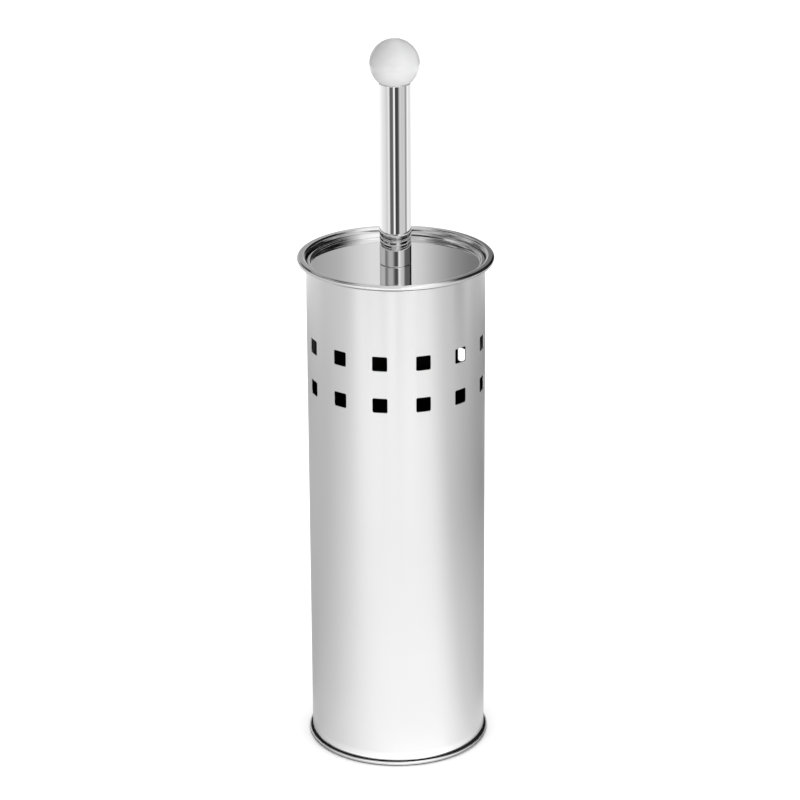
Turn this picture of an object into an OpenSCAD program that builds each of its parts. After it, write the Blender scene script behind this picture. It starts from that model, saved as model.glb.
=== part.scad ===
// Free-standing toilet brush holder: a perforated sheet-steel tube on a rubber-footed base, a lift-out
// drip cup, and a brush whose flat lid closes the tube and carries a tubular handle with a ball knob.
// Millimetres, +Z up. The origin is the middle of the foot, on the floor. The tube's seam is at +Y.

/* [Holder] */
// Outer diameter of the perforated tube
body_d = 100; // [96:1:110]
// Height of the rim's crown above the floor
holder_h = 291.5; // [280:0.5:300]
// Thickness of the steel sheet
sheet_t = 0.8; // [0.6:0.1:1]
// How far the rolled rim stands out past the tube
rim_overhang = 5; // [4.5:0.1:7]
// How far the base dish stands out past the tube
base_overhang = 2; // [1.8:0.1:4]

/* [Perforation] */
// Side of one square hole
hole_w = 8.3; // [6:0.1:10]
// Corner radius of a hole
hole_corner_r = 0.8; // [0.5:0.1:2]
// Holes in each row
hole_columns = 12; // [4:2:12]
// Angle from one column to the next
column_pitch = 28; // [24:0.5:29]
// Distance between the two rows
row_spacing = 24.3; // [12:0.1:30]
// Distance from the rim's crown down to the upper row
upper_row_drop = 46.9; // [30:0.1:60]

/* [Lid and handle] */
// Depth of the lid's floor below the rim's crown
lid_recess = 4.7; // [4.2:0.1:5.4]
// Outer diameter of the handle tube
handle_d = 17.6; // [16:0.2:20]
// Diameter of the ball knob
knob_d = 27.6; // [24:0.2:34]
// Height of the knob's top above the floor
overall_h = 414.7; // [400:0.5:430]

/* [Brush] */
// Outer diameter of the stem below the lid
stem_d = 14; // [13:0.5:16]
// Diameter of the bristle head
head_d = 70; // [60:1:72]
// Height of the side bristles
head_h = 78; // [60:1:80]
// Height of the bristle tips above the floor
brush_floor_gap = 12; // [11:0.5:16]

/* [Drip cup] */
// Height of the drip cup
cup_h = 112; // [80:1:130]
// Wall thickness of the drip cup
cup_wall = 1.4; // [1:0.1:2]

/* [Hidden] */

round_fn = 180;
bore_fn = 48;
arc_step = 15;
fit_gap = 0.03;
slide_gap = 0.3;
seat_gap = 0.1;

body_r = body_d / 2;
body_inner_r = body_r - sheet_t;
rim_r = body_r + rim_overhang;
base_r = body_r + base_overhang;

// Base stack, from the floor up
pad_t = 0.8;
gasket_t = 1.3;
dish_z = pad_t;
gasket_z = dish_z + sheet_t;
body_z = gasket_z + gasket_t;
pan_top_z = body_z + sheet_t;
pan_wall_h = 12;
dish_edge_t = 0.9;
gasket_inner_r = body_r - 10;
rivet_r = 1.6;
rivet_head_r = 2.6;
rivet_head_h = 1;
rivet_circle_r = body_r - 5;
rivet_count = 3;

// Rim: a rolled lip above the tube's end, with a skirt inside the tube and a ledge for the lid
lip_r = 1.4;
lip_z = holder_h - lip_r;
ledge_z = holder_h - 3.5;
skirt_t = 0.65;
skirt_r = body_inner_r - 0.05;
skirt_inner_r = skirt_r - skirt_t;
skirt_h = 9;
body_top_z = holder_h - 4.1;

// Holes
upper_row_z = holder_h - upper_row_drop;
lower_row_z = upper_row_z - row_spacing;

// Lid
lid_floor_z = holder_h - lid_recess;
lid_wall_r = skirt_inner_r - slide_gap;
lid_edge_r = lid_wall_r + 1.1;
lid_edge_z = ledge_z + seat_gap;
lid_corner_r = 0.8;

// Clamp that joins the handle, the lid and the stem
stud_r = 4;
clamp_bore_r = stud_r + fit_gap;
washer_r = 15;
washer_t = 1.4;
washer_z = lid_floor_z - sheet_t - washer_t;
nut_flats = 13;
nut_h = 6.5;
nut_z = washer_z - nut_h;
plug_h = 16;
stud_z = nut_z - plug_h + 2;
stud_h = 2 * plug_h + nut_h + washer_t + sheet_t - 6;

// Handle and knob
handle_r = handle_d / 2;
handle_wall = 1;
handle_plug_r = handle_r - handle_wall - fit_gap;
knob_r = knob_d / 2;
knob_z = overall_h - knob_r;
knob_seat_z = knob_z - sqrt(pow(knob_r, 2) - pow(handle_r, 2));
knob_stud_r = 3;
knob_stud_depth = 11;

// Stem and head
stem_r = stem_d / 2;
stem_wall = 0.8;
stem_plug_r = stem_r - stem_wall - fit_gap;
head_r = head_d / 2;
tip_h = 14;
tip_r = head_r * 0.72;
core_r = 8;
core_z = brush_floor_gap + tip_h;
collar_r = 9;
collar_h = 6;
core_top_z = core_z + head_h + 3;
stem_z = core_top_z + collar_h;
stem_h = nut_z - stem_z;
head_stud_r = 3;
head_stud_h = 12;
bristle_gap = 0.3;

// Drip cup, tapered so that it draws out of the tube
cup_z = pan_top_z + seat_gap;
cup_floor_t = 1.6;
cup_foot_r = rivet_circle_r - rivet_head_r - 0.9;
cup_mouth_r = skirt_inner_r - 2.1;
cup_lip_r = cup_mouth_r + 1.2;
cup_lip_t = 1.6;

steel = [0.72, 0.72, 0.71];
polished = [0.85, 0.85, 0.86];
black_rubber = [0.06, 0.06, 0.06];
grey_plastic = [0.35, 0.36, 0.37];
white_plastic = [0.9, 0.9, 0.88];

// Point at distance r and angle a from the origin
function polar(r, a) = [r * cos(a), r * sin(a)];

// Points along an arc about c, from angle a0 to angle a1, one every arc_step degrees
function arc(c, r, a0, a1) =
    let (steps = abs(a1 - a0) / arc_step)
    [for (i = [0:steps]) c + polar(r, a0 + (a1 - a0) * i / steps)];

// Outline of a square with rounded corners, centred on the origin
function rounded_square(w, r) =
    [for (a = [45:90:315]) each arc(polar(sqrt(2) * (w / 2 - r), a), r, a - 45, a + 45)];

module turned(points) {
    rotate_extrude($fn = round_fn)
        polygon(points);
}

module tube(outer_r, inner_r, z, h) {
    translate([0, 0, z])
        difference() {
            cylinder(r = outer_r, h = h, $fn = round_fn);
            translate([0, 0, -1])
                cylinder(r = inner_r, h = h + 2, $fn = round_fn);
        }
}

// A round plug with a bore right through it
module bored_plug(outer_r, bore_r, z, h) {
    translate([0, 0, z])
        difference() {
            cylinder(r = outer_r, h = h, $fn = bore_fn);
            translate([0, 0, -1])
                cylinder(r = bore_r, h = h + 2, $fn = bore_fn);
        }
}

// Places its children at each rivet
module at_rivets() {
    for (i = [0:rivet_count - 1])
        rotate([0, 0, 90 + i * 360 / rivet_count])
            translate([rivet_circle_r, 0, 0])
                children();
}

module rivet_holes(z, h) {
    at_rivets()
        translate([0, 0, z - 1])
            cylinder(r = rivet_r + fit_gap, h = h + 2, $fn = bore_fn);
}

// One row of square holes, spread evenly about the front (-Y)
module hole_row(z) {
    for (i = [0:hole_columns - 1])
        rotate([0, 0, -90 + (i - (hole_columns - 1) / 2) * column_pitch])
            translate([body_inner_r - 2, 0, z])
                rotate([90, 0, 90])
                    linear_extrude(height = sheet_t + 4)
                        polygon(rounded_square(hole_w, hole_corner_r));
}

module body_shell() {
    color(steel)
        difference() {
            tube(body_r, body_inner_r, body_z, body_top_z - body_z);
            hole_row(upper_row_z);
            hole_row(lower_row_z);
        }
}

module rim_ring() {
    lip_inner = body_r + 0.2 + lip_r;
    lip_outer = rim_r - lip_r;
    color(polished)
        turned(concat(
            [
                [skirt_inner_r, body_top_z - skirt_h],
                [skirt_r, body_top_z - skirt_h],
                [skirt_r, body_top_z],
                [body_r, body_top_z],
                [lip_inner, lip_z - lip_r]
            ],
            arc([lip_outer, lip_z], lip_r, -90, 90),
            arc([lip_inner, lip_z], lip_r, 90, 180),
            [
                [body_r, ledge_z + 0.4],
                [body_r - 0.4, ledge_z],
                [skirt_inner_r, ledge_z]
            ]));
}

// Pan pressed into the foot of the tube, which the drip cup stands on
module inner_base_pan() {
    color(steel)
        difference() {
            turned([
                [0, body_z],
                [skirt_r, body_z],
                [skirt_r, body_z + pan_wall_h],
                [skirt_r - sheet_t, body_z + pan_wall_h],
                [skirt_r - sheet_t, pan_top_z],
                [0, pan_top_z]
            ]);
            rivet_holes(body_z, sheet_t);
        }
}

module base_gasket() {
    color(black_rubber)
        difference() {
            tube(base_r - dish_edge_t - fit_gap, gasket_inner_r, gasket_z, gasket_t);
            rivet_holes(gasket_z, gasket_t);
        }
}

// Dish with a turned-up edge, which frames the foot of the tube
module base_dish() {
    edge_r = dish_edge_t / 2;
    corner_r = 1;
    color(polished)
        difference() {
            turned(concat(
                [[0, dish_z]],
                arc([base_r - corner_r, dish_z + corner_r], corner_r, -90, 0),
                arc([base_r - edge_r, body_z - edge_r], edge_r, 0, 180),
                [
                    [base_r - dish_edge_t, gasket_z],
                    [0, gasket_z]
                ]));
            rivet_holes(dish_z, sheet_t);
        }
}

module base_rivets() {
    color(polished)
        at_rivets()
            turned([
                [0, dish_z],
                [rivet_r, dish_z],
                [rivet_r, pan_top_z],
                [rivet_head_r, pan_top_z],
                [rivet_head_r, pan_top_z + rivet_head_h / 2],
                [rivet_head_r - rivet_head_h / 2, pan_top_z + rivet_head_h],
                [0, pan_top_z + rivet_head_h]
            ]);
}

module anti_slip_pad() {
    color(black_rubber)
        cylinder(r = base_r - 1.4, h = pad_t, $fn = round_fn);
}

module drip_cup() {
    top_z = cup_z + cup_h;
    color(grey_plastic)
        turned(concat(
            [[0, cup_z]],
            arc([cup_foot_r - 2, cup_z + 2], 2, -90, 0),
            [
                [cup_mouth_r, top_z - cup_lip_t],
                [cup_lip_r - 0.4, top_z - cup_lip_t],
                [cup_lip_r, top_z - cup_lip_t + 0.4],
                [cup_lip_r, top_z - 0.4],
                [cup_lip_r - 0.4, top_z],
                [cup_mouth_r - cup_wall + 0.4, top_z],
                [cup_mouth_r - cup_wall, top_z - 0.4],
                [cup_foot_r - cup_wall, cup_z + cup_floor_t],
                [0, cup_z + cup_floor_t]
            ]));
}

// Flat pan with a turned-up wall, whose edge rests on the rim's ledge
module lid() {
    floor_z = lid_floor_z - sheet_t;
    inner_wall_r = lid_wall_r - sheet_t;
    edge_top_z = lid_edge_z + sheet_t;
    color(polished)
        turned(concat(
            [[clamp_bore_r, floor_z]],
            arc([lid_wall_r - lid_corner_r, floor_z + lid_corner_r], lid_corner_r, -90, 0),
            [
                [lid_wall_r, lid_edge_z],
                [lid_edge_r, lid_edge_z],
                [lid_edge_r, edge_top_z - 0.3],
                [lid_edge_r - 0.3, edge_top_z]
            ],
            arc([inner_wall_r + lid_corner_r, edge_top_z - lid_corner_r], lid_corner_r, 90, 180),
            arc([inner_wall_r - 0.5, lid_floor_z + 0.5], 0.5, 0, -90),
            [[clamp_bore_r, lid_floor_z]]));
}

module lid_washer() {
    color(black_rubber)
        bored_plug(washer_r, clamp_bore_r, washer_z, washer_t);
}

module clamp_nut() {
    color(polished)
        translate([0, 0, nut_z])
            difference() {
                cylinder(r = nut_flats / 2 / cos(30), h = nut_h, $fn = 6);
                translate([0, 0, -1])
                    cylinder(r = clamp_bore_r, h = nut_h + 2, $fn = bore_fn);
            }
}

module clamp_stud() {
    color(steel)
        translate([0, 0, stud_z])
            cylinder(r = stud_r, h = stud_h, $fn = bore_fn);
}

module handle_tube() {
    color(polished)
        tube(handle_r, handle_r - handle_wall, lid_floor_z, knob_seat_z - lid_floor_z);
}

module handle_bottom_plug() {
    color(steel)
        bored_plug(handle_plug_r, clamp_bore_r, lid_floor_z, plug_h);
}

module handle_top_plug() {
    color(steel)
        bored_plug(handle_plug_r, knob_stud_r + fit_gap, knob_seat_z - plug_h, plug_h);
}

module knob_stud() {
    color(steel)
        translate([0, 0, knob_seat_z - knob_stud_depth])
            cylinder(r = knob_stud_r, h = 2 * knob_stud_depth, $fn = bore_fn);
}

// Ball with a flat seat on the handle's end and a blind hole for its stud
module ball_knob() {
    color([0.93, 0.93, 0.93])
        difference() {
            translate([0, 0, knob_z])
                sphere(r = knob_r, $fn = 96);
            translate([0, 0, knob_seat_z - knob_r])
                cylinder(r = knob_r, h = knob_r, $fn = bore_fn);
            translate([0, 0, knob_seat_z - 1])
                cylinder(r = knob_stud_r + fit_gap, h = knob_stud_depth + 2, $fn = bore_fn);
        }
}

module stem_tube() {
    color(polished)
        tube(stem_r, stem_r - stem_wall, stem_z, stem_h);
}

module stem_top_plug() {
    color(steel)
        bored_plug(stem_plug_r, clamp_bore_r, nut_z - plug_h, plug_h);
}

module stem_bottom_plug() {
    color(steel)
        bored_plug(stem_plug_r, head_stud_r + fit_gap, stem_z, plug_h);
}

// Moulded core with a collar under the stem and a spigot that screws into it
module brush_core() {
    nose_r = 3;
    color(white_plastic)
        turned(concat(
            [[0, core_z]],
            arc([core_r - nose_r, core_z + nose_r], nose_r, -90, 0),
            [
                [core_r, core_top_z - 1],
                [collar_r, core_top_z],
                [collar_r, core_top_z + collar_h - 2],
                [stem_r, core_top_z + collar_h],
                [head_stud_r, core_top_z + collar_h],
                [head_stud_r, stem_z + head_stud_h],
                [0, stem_z + head_stud_h]
            ]));
}

// Barrel of bristles around the core
module side_bristles() {
    edge_r = 5;
    color(white_plastic)
        turned(concat(
            [[core_r + bristle_gap, core_z]],
            arc([head_r - edge_r, core_z + edge_r], edge_r, -90, 0),
            arc([head_r - edge_r, core_z + head_h - edge_r], edge_r, 0, 90),
            [[core_r + bristle_gap, core_z + head_h]]));
}

// Domed bristles under the end of the core
module tip_bristles() {
    edge_r = 9;
    color(white_plastic)
        turned(concat(
            [[0, brush_floor_gap]],
            arc([tip_r - edge_r, brush_floor_gap + edge_r], edge_r, -90, 0),
            [
                [tip_r, core_z - bristle_gap],
                [0, core_z - bristle_gap]
            ]));
}

body_shell();
rim_ring();
inner_base_pan();
base_gasket();
base_dish();
base_rivets();
anti_slip_pad();
drip_cup();
lid();
lid_washer();
clamp_nut();
clamp_stud();
handle_tube();
handle_bottom_plug();
handle_top_plug();
knob_stud();
ball_knob();
stem_tube();
stem_top_plug();
stem_bottom_plug();
brush_core();
side_bristles();
tip_bristles();
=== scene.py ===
import math

import bmesh
import bpy
import numpy as np
from mathutils import Matrix, Vector


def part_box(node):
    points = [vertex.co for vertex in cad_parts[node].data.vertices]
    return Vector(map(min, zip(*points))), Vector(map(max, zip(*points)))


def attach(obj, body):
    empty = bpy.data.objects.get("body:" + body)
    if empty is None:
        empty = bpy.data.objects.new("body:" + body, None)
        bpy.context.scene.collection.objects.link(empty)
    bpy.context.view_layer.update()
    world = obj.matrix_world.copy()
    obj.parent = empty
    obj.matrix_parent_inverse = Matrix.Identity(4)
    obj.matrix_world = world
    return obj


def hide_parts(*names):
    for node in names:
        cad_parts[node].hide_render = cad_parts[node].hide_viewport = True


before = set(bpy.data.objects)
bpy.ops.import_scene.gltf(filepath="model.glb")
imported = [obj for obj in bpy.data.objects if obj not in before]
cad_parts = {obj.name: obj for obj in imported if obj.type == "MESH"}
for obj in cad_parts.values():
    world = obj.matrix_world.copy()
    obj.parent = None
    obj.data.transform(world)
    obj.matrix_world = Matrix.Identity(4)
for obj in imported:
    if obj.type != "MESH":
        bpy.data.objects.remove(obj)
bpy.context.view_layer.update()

# Looks for the toilet brush holder. Lengths in the piece builders are millimetres, measured from the
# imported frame; MM turns them into metres when a mesh is made. Lengths of the camera, the lights and the
# light tent are metres. Angles called "azimuth" are degrees round the tube from the front (-Y) towards +X.

MM = 0.001
ON_AXIS = 1e-6

# Points round each turned piece.
ROUND_STEPS = 240
KNOB_ROUND_STEPS = 160
TUBE_ROUND_STEPS = 128
CORE_ROUND_STEPS = 96
NUT_STEPS = 72


# ---------------------------------------------------------------- sizes from the frame

def radius_of(node):
    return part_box(node)[1].x / MM


def bottom_of(node):
    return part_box(node)[0].z / MM


def top_of(node):
    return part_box(node)[1].z / MM


# ---------------------------------------------------------------- camera

CAMERA_AZIMUTH = -3.46
CAMERA_REACH = 1.7139
CAMERA_HEIGHT = 0.8553
CAMERA_PITCH = 20.777
CAMERA_YAW = 0.067
CAMERA_ROLL = -0.31
CAMERA_LENS = 145.9
SENSOR_WIDTH = 36.0
FAR_CLIP = 50.0


def in_scene(name, data):
    thing = bpy.data.objects.new(name, data)
    bpy.context.scene.collection.objects.link(thing)
    return thing


def add_camera():
    data = bpy.data.cameras.new("camera")
    data.lens = CAMERA_LENS
    data.sensor_width = SENSOR_WIDTH
    data.clip_end = FAR_CLIP
    camera = in_scene("camera", data)
    azimuth = math.radians(CAMERA_AZIMUTH)
    place = (CAMERA_REACH * math.sin(azimuth), -CAMERA_REACH * math.cos(azimuth), CAMERA_HEIGHT)
    camera.matrix_world = (
        Matrix.Translation(Vector(place))
        @ Matrix.Rotation(math.radians(CAMERA_AZIMUTH - CAMERA_YAW), 4, "Z")
        @ Matrix.Rotation(math.radians(90.0 - CAMERA_PITCH), 4, "X")
        @ Matrix.Rotation(math.radians(CAMERA_ROLL), 4, "Z")
    )
    bpy.context.scene.camera = camera


# ---------------------------------------------------------------- mesh helpers

def new_piece(name, verts, faces, material, body, replaces, normals=None):
    """Makes one mesh from points in millimetres, and hangs it on its body in the frame."""
    mesh = bpy.data.meshes.new(name)
    mesh.from_pydata((np.asarray(verts, float) * MM).tolist(), [], faces)
    mesh.validate()
    mesh.update()
    mesh.shade_smooth()
    piece = in_scene(name, mesh)
    mesh.materials.append(material)
    if normals is not None:
        mesh.normals_split_custom_set_from_vertices(normals)
    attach(piece, body)
    for node in replaces:
        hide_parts(node)
    return piece


def filleted(corners, steps=6):
    """Rounds a closed outline. Each corner is (r, z) or (r, z, fillet radius)."""
    points = []
    count = len(corners)
    for i, corner in enumerate(corners):
        here = np.array(corner[:2], float)
        fillet = corner[2] if len(corner) > 2 else 0.0
        before = np.array(corners[i - 1][:2], float) - here
        after = np.array(corners[(i + 1) % count][:2], float) - here
        if fillet <= 0:
            points.append(tuple(here))
            continue
        before_len, after_len = np.linalg.norm(before), np.linalg.norm(after)
        before, after = before / before_len, after / after_len
        half = math.acos(max(-1.0, min(1.0, float(before @ after)))) / 2
        reach = min(fillet / math.tan(half), 0.49 * before_len, 0.49 * after_len)
        fillet = reach * math.tan(half)
        middle = here + (before + after) / np.linalg.norm(before + after) * fillet / math.sin(half)
        start, end = here + before * reach - middle, here + after * reach - middle
        a0 = math.atan2(start[1], start[0])
        turn = (math.atan2(end[1], end[0]) - a0 + math.pi) % (2 * math.pi) - math.pi
        for k in range(steps + 1):
            a = a0 + turn * k / steps
            points.append(tuple(middle + fillet * np.array([math.cos(a), math.sin(a)])))
    return points


def arc(r, z, radius, start, end, steps):
    """Points along an arc in the (r, z) half-plane, angles in degrees."""
    angles = np.radians(np.linspace(start, end, steps + 1))
    return [(r + radius * math.cos(a), z + radius * math.sin(a)) for a in angles]


def turned_mesh(outline, steps):
    """Vertices and faces of a closed (r, z) outline turned about Z. A point on the axis is one vertex."""
    verts, rings = [], []
    for r, z in outline:
        if r < ON_AXIS:
            rings.append([len(verts)] * steps)
            verts.append((0.0, 0.0, z))
        else:
            rings.append(list(range(len(verts), len(verts) + steps)))
            for k in range(steps):
                a = 2 * math.pi * k / steps
                verts.append((r * math.cos(a), r * math.sin(a), z))
    faces = []
    for i, ring in enumerate(rings):
        following = rings[(i + 1) % len(rings)]
        if outline[i][0] < ON_AXIS and outline[(i + 1) % len(rings)][0] < ON_AXIS:
            continue
        for k in range(steps):
            n = (k + 1) % steps
            face = [ring[k], ring[n], following[n], following[k]]
            faces.append([v for j, v in enumerate(face) if v != face[j - 1]])
    return verts, faces


def sharpen(piece, limit_degrees):
    """Marks the edges where the surface turns by more than the limit, so that they stay crisp."""
    work = bmesh.new()
    work.from_mesh(piece.data)
    bmesh.ops.recalc_face_normals(work, faces=work.faces)
    limit = math.radians(limit_degrees)
    for edge in work.edges:
        edge.smooth = len(edge.link_faces) == 2 and edge.calc_face_angle(0.0) < limit
    work.to_mesh(piece.data)
    work.free()


def braced(outline, near=0.1, shortest=1.0):
    """Adds a point close to each end of every long run, so that smooth shading keeps the run straight."""
    points = []
    for i, start in enumerate(outline):
        end = outline[(i + 1) % len(outline)]
        points.append(tuple(start))
        run = math.dist(start, end)
        if run > shortest:
            for share in (near / run, 1 - near / run):
                points.append(tuple(a + (b - a) * share for a, b in zip(start, end)))
    return points


def turned_piece(name, outline, material, body, replaces, steps=ROUND_STEPS):
    verts, faces = turned_mesh(braced(outline), steps)
    sharpen(new_piece(name, verts, faces, material, body, replaces), 32.0)


# ---------------------------------------------------------------- materials

def new_material(name, **values):
    """A material with its node tree and shader; values are shader inputs, with _ for a space."""
    material = bpy.data.materials.new(name)
    material.use_nodes = True
    shader = material.node_tree.nodes["Principled BSDF"]
    set_inputs(shader, **values)
    return material, material.node_tree, shader


def set_inputs(node, **values):
    for name, value in values.items():
        node.inputs[name.replace("_", " ")].default_value = value


def add_node(tree, kind, **values):
    node = tree.nodes.new(kind)
    set_inputs(node, **values)
    return node


def link(tree, source, target):
    tree.links.new(source, target)


def object_place(tree):
    return add_node(tree, "ShaderNodeTexCoord").outputs["Object"]


def stretched_noise(tree, scale, detail):
    """Noise on object coordinates, with scale = (x, y, z) features to the metre along each axis."""
    mapping = add_node(tree, "ShaderNodeMapping", Scale=scale)
    noise = add_node(tree, "ShaderNodeTexNoise", Scale=1.0, Detail=detail)
    link(tree, object_place(tree), mapping.inputs["Vector"])
    link(tree, mapping.outputs["Vector"], noise.inputs["Vector"])
    return noise.outputs["Fac"]


def even_noise(tree, scale, detail):
    return stretched_noise(tree, (scale, scale, scale), detail)


def ramp_between(tree, source, low, high, start=0.3, end=0.7):
    """Maps start..end of the source onto the range low..high."""
    remap = add_node(tree, "ShaderNodeMapRange", From_Min=start, From_Max=end, To_Min=low, To_Max=high)
    link(tree, source, remap.inputs["Value"])
    return remap.outputs["Result"]


def grey(level):
    return (level, level, level)


def grey_between(tree, source, dark, light):
    mix = add_node(tree, "ShaderNodeMix")
    mix.data_type = "RGBA"
    set_inputs(mix, A=(*dark, 1.0), B=(*light, 1.0))
    link(tree, source, mix.inputs["Factor"])
    return mix.outputs["Result"]


def add_bump(tree, shader, height, strength, distance):
    bump = add_node(tree, "ShaderNodeBump", Strength=strength, Distance=distance)
    link(tree, height, bump.inputs["Height"])
    link(tree, bump.outputs["Normal"], shader.inputs["Normal"])


def height_mask(tree, from_z, to_z):
    """0 at height from_z, 1 at to_z, both in millimetres on the object's own Z."""
    split = add_node(tree, "ShaderNodeSeparateXYZ")
    link(tree, object_place(tree), split.inputs["Vector"])
    return ramp_between(tree, split.outputs["Z"], 0.0, 1.0, from_z * MM, to_z * MM)


def inner_mask(tree, from_r, to_r):
    """0 at distance from_r from the axis, 1 at to_r, both in millimetres."""
    flat = add_node(tree, "ShaderNodeVectorMath")
    flat.operation = "MULTIPLY"
    flat.inputs[1].default_value = (1.0, 1.0, 0.0)
    reach = add_node(tree, "ShaderNodeVectorMath")
    reach.operation = "LENGTH"
    link(tree, object_place(tree), flat.inputs[0])
    link(tree, flat.outputs["Vector"], reach.inputs[0])
    return ramp_between(tree, reach.outputs["Value"], 0.0, 1.0, from_r * MM, to_r * MM)


def mixed_towards(tree, source, mask, value, data_type):
    """Mixes a source towards a plain value where the mask is 1."""
    mix = add_node(tree, "ShaderNodeMix")
    mix.data_type = data_type
    set_inputs(mix, B=value)
    link(tree, mask, mix.inputs["Factor"])
    link(tree, source, mix.inputs["A"])
    return mix.outputs["Result"]


def shaded(tree, source, mask, shade):
    return mixed_towards(tree, source, mask, (*grey(shade), 1.0), "RGBA")


def smoothed(tree, source, mask, roughness):
    return mixed_towards(tree, source, mask, roughness, "FLOAT")


def brushed_steel():
    """Satin sheet: fine scratches run round the tube, so highlights stretch up and down. The skin's colour is
    painted lighter towards the foot, a painted highlight, and the foot's edge is burnished smooth. Just under
    the rim the colour is painted dark as shade in the gap, and the inner skin is painted dark as the shade
    inside the tube."""
    material, tree, shader = new_material(
        "brushed_steel", Metallic=1.0, Anisotropic=0.75, Anisotropic_Rotation=0.25)
    tangent = add_node(tree, "ShaderNodeTangent")
    tangent.direction_type = "RADIAL"
    tangent.axis = "Z"
    link(tree, tangent.outputs["Tangent"], shader.inputs["Tangent"])
    scratches = stretched_noise(tree, (10.0, 10.0, 4200.0), 2.0)
    clouds = stretched_noise(tree, (9.0, 9.0, 30.0), 2.0)
    skin, foot, top = radius_of("body_shell"), bottom_of("body_shell"), top_of("body_shell")
    foot_edge = height_mask(tree, foot + 1.7, foot + 1.2)
    # Painted light: the skin's colour gets lighter towards the foot.
    foot_painted_light = height_mask(tree, foot + 5.5, foot + 0.3)
    # Painted shade: the colour is dark just under the rim, in the gap.
    rim_gap_painted_shade = height_mask(tree, top - 0.6, top - 0.25)
    # Painted shade: the inner skin is dark, as the inside of the tube is in shade.
    inner_painted_shade = inner_mask(tree, skin - 0.5, skin - 0.6)
    rough = ramp_between(tree, scratches, 0.275, 0.285)
    link(tree, smoothed(tree, rough, foot_edge, 0.07), shader.inputs["Roughness"])
    tone = grey_between(tree, clouds, grey(0.74), grey(0.755))
    for mask, shade in ((foot_painted_light, 0.98), (rim_gap_painted_shade, 0.16), (inner_painted_shade, 0.1)):
        tone = shaded(tree, tone, mask, shade)
    link(tree, tone, shader.inputs["Base Color"])
    add_bump(tree, shader, scratches, 0.0035, 0.0001)
    return material


def polished_steel(name, roughness=(0.004, 0.022), tone=0.79, painted_shade_z=None):
    """Mirror-polished sheet with the faint waviness and wipe marks of a pressed part. Where a height is
    given, the colour below it is painted dark as shade in the fold under the lip."""
    material, tree, shader = new_material(name, Metallic=1.0)
    wipes = even_noise(tree, 60.0, 4.0)
    waves = even_noise(tree, 14.0, 1.0)
    link(tree, ramp_between(tree, wipes, *roughness), shader.inputs["Roughness"])
    colour = grey_between(tree, wipes, grey(0.97 * tone), grey(tone))
    if painted_shade_z is not None:
        # Painted shade: the colour is dark below the given height.
        colour = shaded(tree, colour, height_mask(tree, painted_shade_z + 0.2, painted_shade_z - 0.2), 0.12)
    link(tree, colour, shader.inputs["Base Color"])
    add_bump(tree, shader, waves, 0.03, 0.0003)
    return material


def plain_steel():
    """Zinc-grey turned parts with fine tool marks."""
    material, tree, shader = new_material("plain_steel", Metallic=1.0)
    marks = stretched_noise(tree, (40.0, 40.0, 1500.0), 3.0)
    blotches = even_noise(tree, 120.0, 3.0)
    link(tree, ramp_between(tree, marks, 0.28, 0.42), shader.inputs["Roughness"])
    link(tree, grey_between(tree, blotches, (0.42, 0.42, 0.43), grey(0.6)), shader.inputs["Base Color"])
    add_bump(tree, shader, marks, 0.15, 0.0001)
    return material


def black_rubber():
    """Matt rubber with a fine grain and a little dust."""
    material, tree, shader = new_material("black_rubber", Specular_IOR_Level=0.12)
    grain = even_noise(tree, 1400.0, 2.0)
    dust = even_noise(tree, 70.0, 4.0)
    link(tree, grey_between(tree, dust, grey(0.004), grey(0.01)), shader.inputs["Base Color"])
    link(tree, ramp_between(tree, grain, 0.7, 0.9), shader.inputs["Roughness"])
    add_bump(tree, shader, grain, 0.3, 0.0001)
    return material


def moulded_plastic(name, dark, light, roughness):
    """Injection-moulded plastic with a fine spark-eroded texture and slight flow marks."""
    material, tree, shader = new_material(name)
    grain = even_noise(tree, 900.0, 2.0)
    flow = stretched_noise(tree, (25.0, 25.0, 8.0), 3.0)
    link(tree, grey_between(tree, flow, dark, light), shader.inputs["Base Color"])
    link(tree, ramp_between(tree, grain, *roughness), shader.inputs["Roughness"])
    add_bump(tree, shader, grain, 0.12, 0.0001)
    return material


def bristle_nylon():
    """Slightly translucent filaments, whose tone varies a little over the head."""
    material, tree, shader = new_material(
        "bristle_nylon", Subsurface_Weight=0.15, Subsurface_Radius=(0.001, 0.001, 0.001))
    tones = even_noise(tree, 220.0, 2.0)
    link(tree, grey_between(tree, tones, (0.7, 0.7, 0.68), (0.88, 0.88, 0.86)), shader.inputs["Base Color"])
    link(tree, ramp_between(tree, tones, 0.3, 0.45), shader.inputs["Roughness"])
    return material


def frosted_acrylic():
    """Milky ball under a clear glossy skin."""
    material, tree, shader = new_material(
        "frosted_acrylic", IOR=1.49, Subsurface_Weight=0.3, Subsurface_Radius=(0.006, 0.006, 0.006),
        Coat_Weight=1.0, Coat_Roughness=0.03, Coat_IOR=1.5)
    cloud = even_noise(tree, 45.0, 2.0)
    grain = even_noise(tree, 1200.0, 2.0)
    link(tree, grey_between(tree, cloud, grey(0.63), grey(0.67)), shader.inputs["Base Color"])
    link(tree, ramp_between(tree, grain, 0.42, 0.5), shader.inputs["Roughness"])
    return material


# ---------------------------------------------------------------- the perforated tube

SHEET = 0.8
HOLE_W = 8.3
HOLE_CORNER = 0.8
HOLE_COLUMNS = 12
COLUMN_PITCH = 28.0
ROW_SPACING = 24.3
UPPER_ROW_DROP = 46.9
HOLE_BEVEL = 0.14
CELL_STEPS = 14
CELL_STEP = COLUMN_PITCH / CELL_STEPS
CELL_RINGS = (0.0, 0.35, 0.65, 0.85, 1.0)
CORNER_STEPS = 3
ROWS_BELOW_HOLES = 8
ROWS_ABOVE_HOLES = 3

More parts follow.
